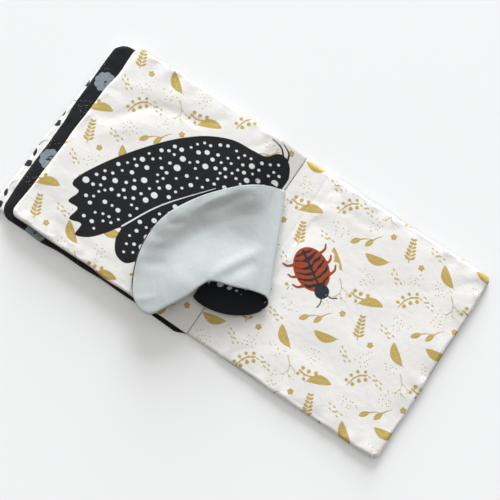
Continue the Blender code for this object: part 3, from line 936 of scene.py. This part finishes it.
OCHRE_LAYERS = (("gold", GOLD), ("gold_light", GOLD_LIGHT))
OCHRE_SPECKS = ((GOLD, 3.9, 0.52),)
WHITE_SPECKS = ((SPECK_GREY, 5.6, 0.34), (SPECK_GREY, 3.7, 0.22))
TOP_PRINT = cloth_material("cream_ochre_print_with_moth", CREAM,
                           (*OCHRE_LAYERS, ("moth", BLACK), ("dots", DOT_WHITE), ("edge", TAN_RIM_SHADE)), OCHRE_SPECKS)
BACK_PRINT = cloth_material("cream_ochre_print_with_beetle", CREAM,
                            (*OCHRE_LAYERS, ("beetle", RUST), ("stripes", INK)), OCHRE_SPECKS)
DAISY_PRINT = cloth_material("black_daisy_print", BLACK, (("grey", GREY_BLUE), ("holes", BLACK)),
                             WHITE_SPECKS, 0.14)
INK_PRINT = cloth_material("cream_ink_print", CREAM, (("ink", INK),))
SPECKLED_BLACK = cloth_material("speckled_black_cloth", BLACK, (("seam", INK),), WHITE_SPECKS, 0.14)
DOTTED_BLACK = cloth_material("dotted_black_cloth", BLACK, (("dots", DOT_WHITE),), mottle=0.12)
LINING_CLOTH = cloth_material("blue_grey_lining", LINING, (("rim", BLACK),), weave_depth=0.09, mottle=0.08,
                              roughness=0.97, sheen=0.25)
THREAD_FINISH = thread_material()


def keep(piece, material, body, nodes):
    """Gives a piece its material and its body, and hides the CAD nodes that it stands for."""
    piece.data.materials.append(material)
    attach(piece, body)
    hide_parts(*nodes)


# What each leaf's cloth has printed on it, and the tan rim of painted shade on the top leaf, in millimetres
FIGURE_MARGIN = 2.5
SPECK_MARGIN = 2
SPECK_INSET = 3
RIM_SHADE_WIDTH = 0.45
SEAM_SHOW = 0.5


def speckled_clear(x, y, shift, printed, inset=0):
    """The speckled patches, kept clear of what is printed."""
    patches = repeat_print(x, y, SPECKLED_REPEAT, REPEAT, shift)[0]
    return np.maximum(patches - inset, SPECK_MARGIN - printed)


def top_layers(x, y, edge, shift):
    gold, light = repeat_print(x, y, GOLD_REPEAT, REPEAT, shift)
    moth, dots = moth_print(x, y)
    # The edge layer is painted shade: tan in the last 0.45 mm of the top leaf's cloth, where it rolls under
    # at the sewn rim.
    return {"gold": gold, "gold_light": light, "moth": moth, "dots": dots, "edge": edge - RIM_SHADE_WIDTH,
            "speckled": speckled_clear(x, y, shift, np.minimum(moth, gold))}


def open_layers(x, y, edge, shift):
    gold, light = repeat_print(x, y, GOLD_REPEAT, REPEAT, shift)
    beetle, stripes = beetle_print(x, y)
    gold = np.maximum(gold, FIGURE_MARGIN - beetle)
    return {"gold": gold, "gold_light": light, "beetle": beetle, "stripes": stripes,
            "speckled": speckled_clear(x, y, shift, np.minimum(beetle, gold))}


def daisy_layers(x, y, edge, shift):
    grey, holes = repeat_print(x, y, DAISY_REPEAT, DAISY_SIZE, DAISY_SHIFT)
    return {"grey": grey, "holes": holes, "speckled": speckled_clear(x, y, shift, grey, SPECK_INSET)}


def ink_layers(x, y, edge, shift):
    return {"ink": repeat_print(x, y, INK_REPEAT, INK_SIZE, shift)[0]}


def black_layers(x, y, edge, shift):
    return {"seam": edge - SEAM_SHOW, "speckled": -edge}


CREAM_SLOT = "cream_print_cloth"
BLACK_SLOT = "black_print_cloth"
LINE_SLOT = "line_print_cloth"
# Each cloth's name, leaf and pitch, its print and that print's shift, its material, its slot and its nodes
LEAF_CLOTHS = (
    ("top_leaf_cloth", INNER_RIGHT, FINE_PITCH, top_layers, (-6, 20), TOP_PRINT, CREAM_SLOT,
     ("inner_right_leaf_upper_cloth", "inner_right_leaf_wadding")),
    ("open_leaf_cloth", BACK, FINE_PITCH, open_layers, (22, -34), BACK_PRINT, CREAM_SLOT,
     ("back_leaf_upper_cloth", "back_leaf_wadding", "spine_strip_upper_cloth")),
    ("second_leaf_cloth", INNER_LEFT, COARSE_PITCH, daisy_layers, (30, 9), DAISY_PRINT, BLACK_SLOT,
     ("inner_left_leaf_upper_cloth", "inner_left_leaf_wadding")),
    ("third_leaf_cloth", FRONT, COARSE_PITCH, ink_layers, (-13, -13), INK_PRINT, LINE_SLOT,
     ("front_leaf_upper_cloth", "front_leaf_wadding")),
    ("top_leaf_underside", INNER_RIGHT, COARSE_PITCH, black_layers, None, SPECKLED_BLACK, BLACK_SLOT,
     ("inner_right_leaf_lower_cloth",)),
    ("open_leaf_underside", BACK, COARSE_PITCH, black_layers, None, SPECKLED_BLACK, BLACK_SLOT,
     ("back_leaf_lower_cloth", "spine_strip_lower_cloth")),
    ("third_leaf_underside", FRONT, COARSE_PITCH, black_layers, None, SPECKLED_BLACK, BLACK_SLOT,
     ("front_leaf_lower_cloth",)),
    ("second_leaf_underside", INNER_LEFT, COARSE_PITCH, ink_layers, (-10, 3), INK_PRINT, LINE_SLOT,
     ("inner_left_leaf_lower_cloth",)),
)


def make_leaves():
    """Each leaf's two cloths, as puffed closed forms with their prints."""
    for name, leaf, pitch, layers, shift, material, slot, nodes in LEAF_CLOTHS:
        up = name.endswith("_cloth")
        surface, edge = leaf_surface(leaf, pitch, up)
        x, y = surface[..., 0] / MM, surface[..., 1] / MM
        attributes = {"flat": np.stack([x, y, 0 * x], axis=-1), **layers(x, y, edge / MM, shift)}
        inner = (surface - CLOTH * grid_normals(surface, up))[::INNER_STEP, ::INNER_STEP]
        piece = shell(name, surface, inner, attributes, up)
        keep(piece, material, leaf.body, nodes)


# Flap: its sewn line, its fold and its free edges, measured from the spine
SEW_FROM_SPINE = 0.014
SEW_HEAD = np.array((-SEW_FROM_SPINE, 0.059))
SEW_TAIL = np.array((-SEW_FROM_SPINE, -0.066))
FOLD_TOP = np.array((0.001, 0.060))
FOLD_TAIL = np.array((0.043, -0.0285))
FOLD_RUN = (FOLD_TAIL - FOLD_TOP) / np.hypot(*(FOLD_TAIL - FOLD_TOP))
WING_NORMAL = np.array((FOLD_RUN[1], -FOLD_RUN[0]))
FOLD_HEIGHT = 0.0078
CURL_RADIUS = 0.0026
CURL_SWELL = 0.7
TIP = np.array((-0.0425, -0.1125))
TIP_ROUND_SHARE = 0.11
FOLD_OVERRUN_SHARE = 0.12
FLAP_GAP = 0.00004
WING_DROP = 0.0016
WING_CLEARANCE = 0.0004
WING_HOVER = 0.0038
ARC_BULGE = 0.0515
ARC_LEAN_SHARE = -0.07
ARC_FULLNESS_SHARE = 0.7
TRAIL = ((29, -33), (12.6, -40), (-6, -47), (-12, -57), (-16.5, -70), (-25, -86), (-33, -100))
TAIL_BULGE = 0.0107
TAIL_FULLNESS_SHARE = 0.6
CURL_SQUARE_SHARE = 0.75
LANDING_X = -0.030
FLAP_ROLL = 0.0014
BASE_CLEARANCE = 0.0006
RIM_SHOW = 0.0011
RIM_FROM = 0.02
RIM_FADE = 0.03


def mixed(first, second, share):
    """Places at a share of the way from the first to the second."""
    share = np.asarray(share)[..., None]
    return first * (1 - share) + second * share


def bulged(start, end, bulge, share, fullness, lean=0):
    """Places on a soft curve from start to end that stands out by the bulge."""
    run = end - start
    side = np.array((run[1], -run[0])) / np.hypot(*run)
    rise = np.clip(np.sin(pi * (share + lean * np.sin(pi * share))), 0, None) ** fullness
    return mixed(start, end, share) + (bulge * rise)[..., None] * side


def patch(top, bottom, left, right, down, over):
    """Places inside four border curves, each a function of its share (a Coons patch)."""
    corners = mixed(mixed(top(0), top(1), over), mixed(bottom(0), bottom(1), over), down)
    return mixed(top(over), bottom(over), down) + mixed(left(down), right(down), over) - corners


def curl_radius(share):
    """The fold is pressed at its top and rolls fuller towards the tail."""
    return CURL_RADIUS * (1 + CURL_SWELL * smooth(share))


def near_fold(share):
    """Where the curl ends and the wing starts."""
    return mixed(FOLD_TOP, FOLD_TAIL, share) + curl_radius(share)[..., None] * WING_NORMAL


def outer_arc(share):
    return bulged(near_fold(0) + WING_NORMAL * CURL_RADIUS, TIP, ARC_BULGE, share, ARC_FULLNESS_SHARE,
                  ARC_LEAN_SHARE)


def trailing_edge(share):
    line = rounded_line((near_fold(1), *np.multiply(TRAIL, MM), TIP))
    passed = passed_length(line) / passed_length(line)[-1]
    return np.stack([np.interp(share, passed, line[:, 0]), np.interp(share, passed, line[:, 1])], axis=-1)


def wing_top(share):
    return mixed(near_fold(0), outer_arc(0), share)


# The wing stands up along its arc and arches over the leaf at its trailing edge
HEM_LIFT = 0.0070
HEM_CREST = 0.0030
HEM_REACH = 0.024
HEM_REACH_AT_TIP = 0.034
HEM_START_SHARE = 0.18
HEM_EASE_FROM = 0.45
HEM_EASE_SHARE = 0.4
HEM_EASE = 0.75
ARCH_LIFT = 0.0074
ARCH_END_SHARE = 0.96
ARCH_REACH = 0.052
ARC_LENGTH = 0.21
WING_FOLDS = (
    (((-9.5, -48), (-5, -35), (4, -16), (14, 3)), 5, 1.1), (((1, -40), (8, -26), (17, -10)), 5, -0.7),
    (((-47, 0), (-36, 17), (-27, 31), (-19, 40)), 4.2, -1), (((-56, -6), (-48, 12), (-37, 27)), 3, 0.6),
    (((-69, -26), (-62, -22), (-56, -14)), 3, -0.6), (((-74, -48), (-64, -44), (-56, -34)), 4, 0.5),
    (((-70, -66), (-60, -64), (-48, -56)), 5, -0.6), (((-56, -98), (-48, -94), (-40, -86)), 3, 0.5),
)
WING_GATHER = 0.0005
WING_GATHER_PITCH = 0.009
WING_GATHER_STRETCH = 0.02
WING_GATHER_DEPTH = 0.008
WING_CRUMPLE = 0.0005
WING_CRUMPLE_PITCH = 0.016


def wing_heights(x, y, down):
    """The wing's middle surface, from the top of its curl across to the leaf that it lies on."""
    fold_top = FOLD_HEIGHT + 2 * curl_radius(down)
    seat = SEAM_HALF + WING_CLEARANCE
    landed = INNER_RIGHT.middle + INNER_RIGHT.half + WING_HOVER + seat
    fold_x = mixed(FOLD_TOP, FOLD_TAIL, down)[..., 0]
    height = fold_top + smooth((fold_x - x) / (fold_x - LANDING_X)) * (landed - fold_top)
    shares = np.linspace(0, 1, 60)
    from_arc, along_arc = along_line(x, y, outer_arc(shares))
    from_trail, along_trail = along_line(x, y, trailing_edge(shares))
    reach = HEM_REACH + along_arc * (HEM_REACH_AT_TIP - HEM_REACH)
    hem = smooth(1 - (from_arc - HEM_CREST) / reach) * smooth(along_arc / HEM_START_SHARE)
    hem *= 1 - HEM_EASE * smooth((along_arc - HEM_EASE_FROM) / HEM_EASE_SHARE)
    arch = np.sin(pi * np.clip(along_trail / ARCH_END_SHARE, 0, 1) ** 0.8) ** 1.3
    height += HEM_LIFT * hem + ARCH_LIFT * arch * smooth(1 - from_trail / ARCH_REACH)
    height -= WING_DROP * smooth((-y - HALF_WIDTH) / (-TIP[1] - HALF_WIDTH))
    gathers = soft_noise(along_arc * ARC_LENGTH / WING_GATHER_PITCH, from_arc / WING_GATHER_STRETCH, 71)
    height += WING_GATHER * gathers * np.exp(-from_arc / WING_GATHER_DEPTH) + ridges(x, y, WING_FOLDS)
    height += WING_CRUMPLE * soft_noise(x / WING_CRUMPLE_PITCH, y / WING_CRUMPLE_PITCH, 72)
    on_leaf = (x < 0) & (np.abs(y) < HALF_WIDTH - ROLL_REACH)
    return np.maximum(height, np.where(on_leaf, cloth_height(INNER_RIGHT, x, y) + seat, 0))


WING_ROWS = 132
WING_COLUMNS = 88
WING_BLEND_SHARE = 0.12
CURL_STEPS = 12
FLAT_FROM = CURL_STEPS + 4
BASE_ROWS = 96
BASE_COLUMNS = 48


def edge_shares(count, near_share):
    """Shares from 0 to 1 that crowd together at both ends."""
    ends = np.array((0, 0.15, 0.5, 1)) * near_share
    middle = np.linspace(near_share, 1 - near_share, count + 3 - 2 * len(ends))
    return np.concatenate([ends[:-1], middle, 1 - ends[-2::-1]])


def wing_grid():
    """The middle surface of the curl and the wing, rows from the top down."""
    shares = edge_shares(WING_ROWS, 0.012)
    down, turn = np.meshgrid(shares, np.linspace(-0.5, 0.5, CURL_STEPS + 1) * pi, indexing="ij")
    radius = curl_radius(down)
    overrun = 1 + FOLD_OVERRUN_SHARE * (0.5 - turn / pi)
    out = np.abs(np.cos(turn)) ** CURL_SQUARE_SHARE
    up = np.sign(turn) * np.abs(np.sin(turn)) ** CURL_SQUARE_SHARE
    place = mixed(FOLD_TOP, FOLD_TAIL, down * overrun) + (radius * (1 - out))[..., None] * WING_NORMAL
    curl = np.concatenate([place, (FOLD_HEIGHT + radius * (1 + up))[..., None]], axis=-1)
    down, over = np.meshgrid(shares, edge_shares(WING_COLUMNS, 0.016)[2:], indexing="ij")
    down, over = quarter_round(down, over, (1, 1), TIP_ROUND_SHARE)
    place = patch(wing_top, trailing_edge, near_fold, outer_arc, down, over)
    blend = smooth(over / WING_BLEND_SHARE)
    height = wing_heights(place[..., 0], place[..., 1], down) * blend
    height += (FOLD_HEIGHT + 2 * curl_radius(down)) * (1 - blend)
    return np.concatenate([curl, np.concatenate([place, height[..., None]], axis=-1)], axis=1)


def free_distance(grid, edges=3):
    """Distance of each place from the first few free edges: the top row, the last row and the last column."""
    down = passed_length(grid, 0)
    over = passed_length(grid, 1)
    return nearest(*(down, down[-1] - down, over[:, -1:] - over)[:edges])


def half_sheet(name, grid, free, up, attributes, first=0):
    """One of the flap's cloths, from the flap's middle to its face, rounded at the free edges."""
    normals = grid_normals(grid, up, first)
    rise = HALF_GAP + (SEAM_HALF - HALF_GAP) * edge_roll(free, FLAP_ROLL)
    return shell(name, grid + normals * rise[..., None], grid + normals * (HALF_GAP / 2), attributes, up)


def base_heights(x):
    """The sewn length's middle surface, level from the top leaf's margin up to the fold."""
    sewn = INNER_RIGHT.seam_height(SEW_FROM_SPINE) + 2 * SEAM_HALF + BASE_CLEARANCE
    share = np.clip((x + SEW_FROM_SPINE) / (FOLD_TAIL[0] + SEW_FROM_SPINE), 0, 1)
    return sewn + share * (FOLD_HEIGHT - sewn)


def sewn_edge(share):
    return mixed(SEW_HEAD, SEW_TAIL, share)


def curl_edge(share):
    return near_fold(share * (1 + FOLD_OVERRUN_SHARE)) + FLAP_GAP * WING_NORMAL


def base_top(share):
    return mixed(sewn_edge(0), curl_edge(0), share)


def base_tail(share):
    return bulged(sewn_edge(1), curl_edge(1), TAIL_BULGE, share, TAIL_FULLNESS_SHARE)


def base_grid():
    """The sewn length of the flap, from its sewn line to the start of the curl."""
    down, over = np.meshgrid(edge_shares(BASE_ROWS, 0.012), edge_shares(BASE_COLUMNS, 0.03), indexing="ij")
    place = patch(base_top, base_tail, sewn_edge, curl_edge, down, over)
    return np.concatenate([place, base_heights(place[..., 0])[..., None]], axis=-1)


def everywhere(x, y):
    return -np.ones_like(x)


def flap_print(grid, seed, margin):
    """White dots on the flap's black face, by its own cloth places in millimetres, kept the margin clear of
    its free edges.
    """
    over = passed_length(grid, 1) / MM
    down = passed_length(grid[:, :1], 0) / MM + 0 * over
    dots = round_dots(over, down, everywhere, seed, 3.2, 1.25, 3.0)
    return {"flat": np.stack([over, down, 0 * over], axis=-1),
            "dots": np.maximum(dots, margin - free_distance(grid) / MM)}


FLAP_FACES = (("lining", LINING_CLOTH, "grey_lining"), ("front", DOTTED_BLACK, "dotted_black_cloth"))


def make_flap():
    """Two cloths back to back, sewn to the top leaf, folded over the spine and laid back on the leaf."""
    wing = wing_grid()
    free = free_distance(wing)
    from_arc = along_line(wing[..., 0], wing[..., 1], outer_arc(np.linspace(0, 1, 200)))[0]
    layers = flap_print(wing, 17, 5)
    layers["rim"] = (from_arc - RIM_SHOW * smooth((-wing[..., 1] - RIM_FROM) / RIM_FADE)) / MM
    for face, material, slot in FLAP_FACES:
        piece = half_sheet("flap_wing_" + face + "_cloth", wing, free, face == "lining", layers, FLAT_FROM)
        piece.data.materials.append(material)
        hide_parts("flap_wing_" + face)
        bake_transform(piece)
    base = base_grid()
    free = free_distance(base, 2)
    # On the base the wide bare margin is painted shade: plain black where the shade under the wing hides the
    # dots.
    layers = flap_print(base, 18, 19)
    layers["rim"] = np.full(free.shape, FAR)
    for face, material, slot in FLAP_FACES:
        piece = half_sheet("flap_base_" + face + "_cloth", base, free, face == "front", layers)
        keep(piece, material, "inner_right_leaf", ("flap_base_" + face,))


STITCH_LENGTH = 0.0024
STITCH_PITCH = 0.0033
STITCH_RADIUS = 0.00021
STITCH_ARCH = 0.00022
STITCH_SINK = 0.00012
STITCH_SIDES = 6
STITCH_RINGS = 7


def stitch_row(name, node, height_at, dark_at, body):
    """A row of short arched stitches whose ends dip into the cloth, where the CAD has one thread."""
    low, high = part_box(node)
    x = (low[0] + high[0]) / 2 + ORIGIN_FROM_SPINE
    count = int((high[1] - low[1]) / STITCH_PITCH)
    middle = low[1] + (np.arange(count) + 0.5) * (high[1] - low[1]) / count
    share = np.linspace(-1, 1, STITCH_RINGS)
    turns = np.arange(STITCH_SIDES) * 2 * pi / STITCH_SIDES
    y = middle[:, None] + share * STITCH_LENGTH / 2
    top = height_at(np.full_like(y, x), y) + STITCH_ARCH * (1 - share ** 4) - STITCH_SINK * share ** 2
    radius = STITCH_RADIUS * np.sqrt(1.02 - share ** 8)[:, None]
    right = x - ORIGIN_FROM_SPINE + radius * np.cos(turns)
    up = top[..., None] - STITCH_RADIUS + radius * np.sin(turns)
    points = np.stack(np.broadcast_arrays(right, y[..., None], up), axis=-1).reshape(-1, 3)
    numbers = np.arange(up.size).reshape(up.shape)
    beside = np.roll(numbers, -1, axis=2)
    sides = np.stack([numbers[:, :-1], numbers[:, 1:], beside[:, 1:], beside[:, :-1]], axis=-1)
    faces = sides.reshape(-1, 4).tolist() + numbers[:, 0].tolist() + numbers[:, -1, ::-1].tolist()
    piece = add_piece(name, points.tolist(), faces)
    piece.data.shade_smooth()
    dark = np.repeat(dark_at(middle), STITCH_RINGS * STITCH_SIDES)
    set_attribute(piece.data, "dark", "FLOAT", "value", dark)
    keep(piece, THREAD_FINISH, body, (node,))


def make_stitches():
    """Rows of thread in place of the CAD threads, on the cloth that they hold."""
    def open_leaf(x, y):
        return cloth_height(BACK, x, y)

    def top_leaf(x, y):
        return cloth_height(INNER_RIGHT, x, y)

    def flap_base(x, y):
        return base_heights(x) + SEAM_HALF

    def on_moth(y):
        return inside_line(0 * y - SEWN_FROM_SPINE / MM, y / MM, MOTH_OUTLINE) < 0

    stitch_row("binding_thread", "binding_stitches", open_leaf, np.zeros_like, "back_cover")
    stitch_row("open_leaf_thread", "back_leaf_stitches", open_leaf, np.zeros_like, "back_cover")
    stitch_row("top_leaf_thread", "inner_leaf_stitches", top_leaf, on_moth, "inner_right_leaf")
    stitch_row("flap_thread", "flap_stitches", flap_base, np.ones_like, "inner_right_leaf")


# Studio

def shown_rays(tree):
    """1 for rays that show a thing to the camera, straight, in gloss or through a clear surface."""
    straight, glossy, through = (add_node(tree, "LightPath", "Is " + ray + " Ray", {})
                                 for ray in ("Camera", "Glossy", "Transmission"))
    return add_math(tree, "MAXIMUM", add_math(tree, "MAXIMUM", straight, glossy), through)


def make_floor():
    half = FLOOR_SIZE / 2
    corners = [(x, y, -FLOOR_DROP) for x, y in ((-half, -half), (half, -half), (half, half), (-half, half))]
    floor = add_piece("floor", corners, [(0, 1, 2, 3)])
    material, tree, shader = add_material("pale_floor", {"Roughness": 0.9, "Specular IOR Level": 0.1})
    lift = add_math(tree, "MULTIPLY", shown_rays(tree), FLOOR_LIFT)
    connect(tree, shader, {"Base Color": linear(FLOOR), "Emission Color": FLOOR_GLOW,
                           "Emission Strength": lift})
    floor.data.materials.append(material)


def make_camera():
    data = bpy.data.cameras.new("camera")
    data.sensor_width = SENSOR_WIDTH
    data.lens = FOCAL_PIXELS * SENSOR_WIDTH / FRAME_WIDTH
    camera = add_object("camera", data)
    turn = (Matrix.Rotation(CAMERA_YAW, 4, "Z") @ Matrix.Rotation(CAMERA_TILT, 4, "X")
            @ Matrix.Rotation(CAMERA_ROLL, 4, "Z"))
    camera.matrix_world = Matrix.Translation(CAMERA_PLACE) @ turn
    bpy.context.scene.camera = camera


def key_direction(height):
    """Towards the window, at a height above the floor."""
    return Vector((cos(KEY_TURN) * cos(height), sin(KEY_TURN) * cos(height), sin(height)))


def make_window():
    """An area lamp whose light on the level floor is its share of full light."""
    data = bpy.data.lights.new("window", "AREA")
    data.shape = "SQUARE"
    data.size = KEY_SIZE
    data.color = KEY_TINT
    data.energy = KEY_SHARE * (pi * KEY_DISTANCE) ** 2 / sin(KEY_HEIGHT)
    window = add_object("window", data)
    direction = key_direction(KEY_HEIGHT)
    window.location = direction * KEY_DISTANCE
    window.rotation_mode = "QUATERNION"
    window.rotation_quaternion = direction.to_track_quat("Z", "Y")


def make_room():
    """A white world that is brighter towards the window, and an even pale grey where the camera sees it."""
    world = bpy.data.worlds.new("studio")
    world.use_nodes = True
    tree = world.node_tree
    place = add_node(tree, "TexCoord", "Generated", {})
    side = add_node(tree, "VectorMath", "Value", {0: place, 1: key_direction(0)}, operation="DOT_PRODUCT")
    level = add_range(tree, side, -1, 1, ROOM_SHARE - ROOM_LEAN, ROOM_SHARE + ROOM_LEAN)
    shown = {"Factor": shown_rays(tree), 2: level, 3: SKY_SHOWN}
    strength = add_node(tree, "Mix", 0, shown, data_type="FLOAT")
    connect(tree, tree.nodes["Background"], {"Color": ROOM_TINT, "Strength": strength})
    bpy.context.scene.world = world
    bpy.context.scene.view_settings.view_transform = "Standard"


make_camera()
make_window()
make_room()
make_floor()
for number, leaf in enumerate((INNER_RIGHT, BACK, INNER_LEFT, FRONT)):
    simulate_lift(leaf, PUFF_SEED + number)
make_leaves()
make_flap()
make_stitches()
